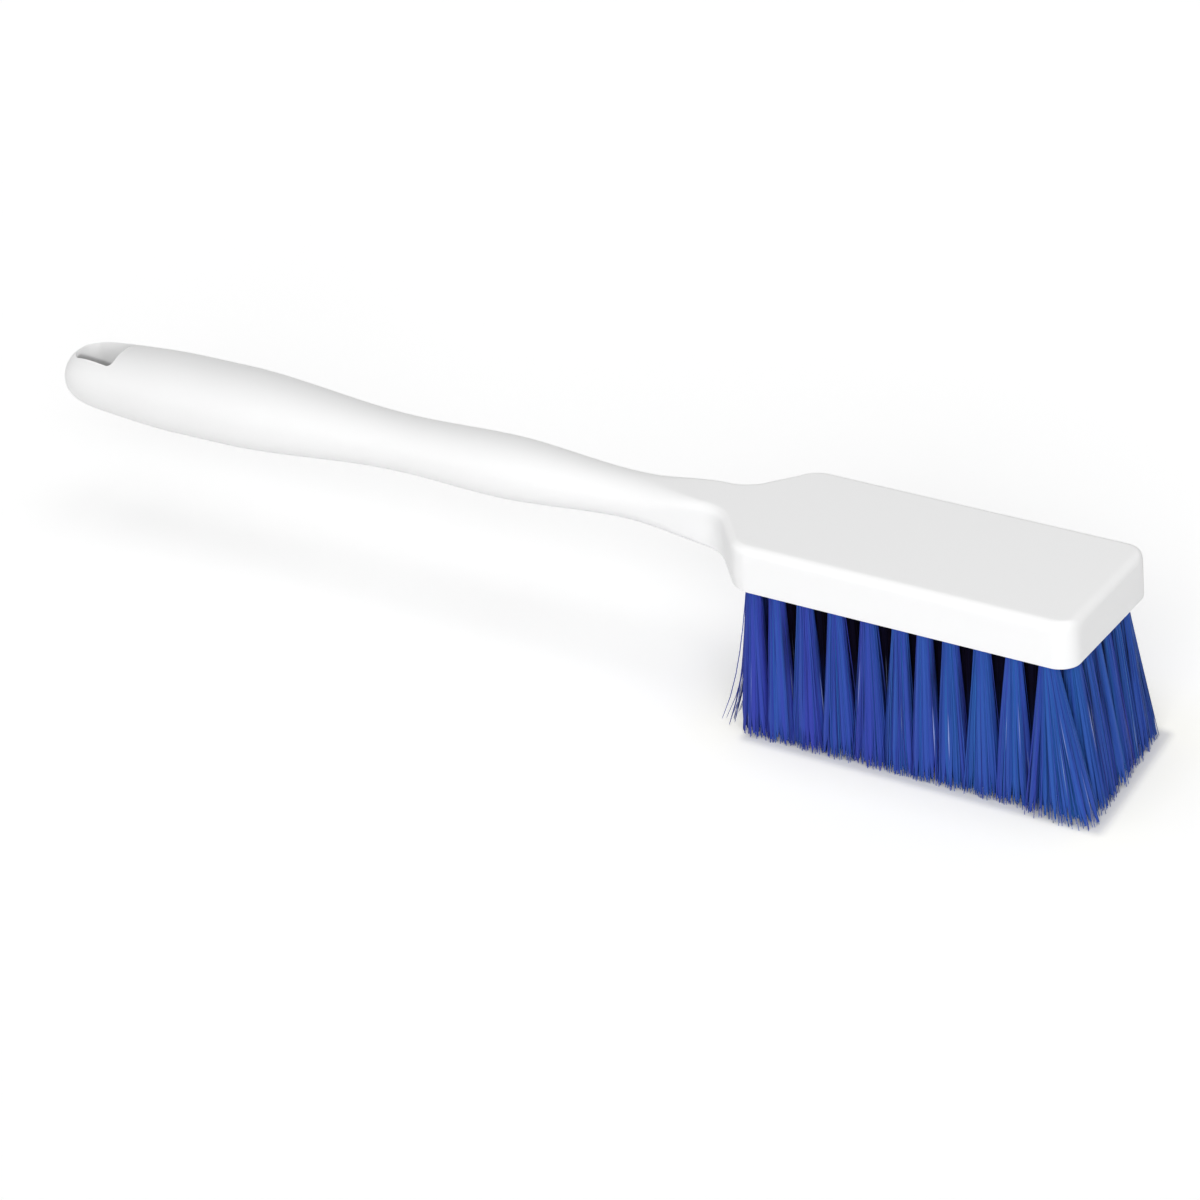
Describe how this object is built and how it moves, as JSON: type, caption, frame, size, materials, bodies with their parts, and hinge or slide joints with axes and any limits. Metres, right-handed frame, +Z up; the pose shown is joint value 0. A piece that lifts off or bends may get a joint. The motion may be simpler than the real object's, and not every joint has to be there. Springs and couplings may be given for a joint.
{
  "type": "bread brush",
  "caption": "Long-handled bread brush: one-piece white plastic handle and block with a hang hole, set with flared tufts of blue bristle for sweeping crumbs and flour.",
  "frame": {"origin": "on the surface under the bristle tips, at the middle of the whole brush's length and width", "axes": "+X along the brush from the handle's tip to the block's free end, +Z up through the block, +Y across the block"},
  "size_m": [0.3991, 0.061, 0.0682],
  "materials": {
    "white_plastic": "satin white polypropylene moulding",
    "blue_bristle": "smooth, slightly glossy blue polyester filament"
  },
  "bodies": {
    "root": {"handle_and_block": "white_plastic", "tuft_pair_A01": "blue_bristle", "tuft_pair_A02": "blue_bristle", "tuft_pair_A03": "blue_bristle", "tuft_pair_A04": "blue_bristle", "tuft_pair_A05": "blue_bristle", "tuft_pair_A06": "blue_bristle", "tuft_pair_A07": "blue_bristle", "tuft_pair_A08": "blue_bristle", "tuft_pair_A09": "blue_bristle", "tuft_pair_A10": "blue_bristle", "tuft_pair_A11": "blue_bristle", "tuft_pair_B01": "blue_bristle", "tuft_pair_B02": "blue_bristle", "tuft_pair_B03": "blue_bristle", "tuft_pair_B04": "blue_bristle", "tuft_pair_B05": "blue_bristle", "tuft_pair_B06": "blue_bristle", "tuft_pair_B07": "blue_bristle", "tuft_pair_B08": "blue_bristle", "tuft_pair_B09": "blue_bristle", "tuft_pair_B10": "blue_bristle", "tuft_pair_B11": "blue_bristle", "tuft_pair_C01": "blue_bristle", "tuft_pair_C02": "blue_bristle", "tuft_pair_C03": "blue_bristle", "tuft_pair_C04": "blue_bristle", "tuft_pair_C05": "blue_bristle", "tuft_pair_C06": "blue_bristle", "tuft_pair_C07": "blue_bristle", "tuft_pair_C08": "blue_bristle", "tuft_pair_C09": "blue_bristle", "tuft_pair_C10": "blue_bristle", "tuft_pair_C11": "blue_bristle", "tuft_pair_D01": "blue_bristle", "tuft_pair_D02": "blue_bristle", "tuft_pair_D03": "blue_bristle", "tuft_pair_D04": "blue_bristle", "tuft_pair_D05": "blue_bristle", "tuft_pair_D06": "blue_bristle", "tuft_pair_D07": "blue_bristle", "tuft_pair_D08": "blue_bristle", "tuft_pair_D09": "blue_bristle", "tuft_pair_D10": "blue_bristle", "tuft_pair_D11": "blue_bristle"}
  },
  "joints": []
}
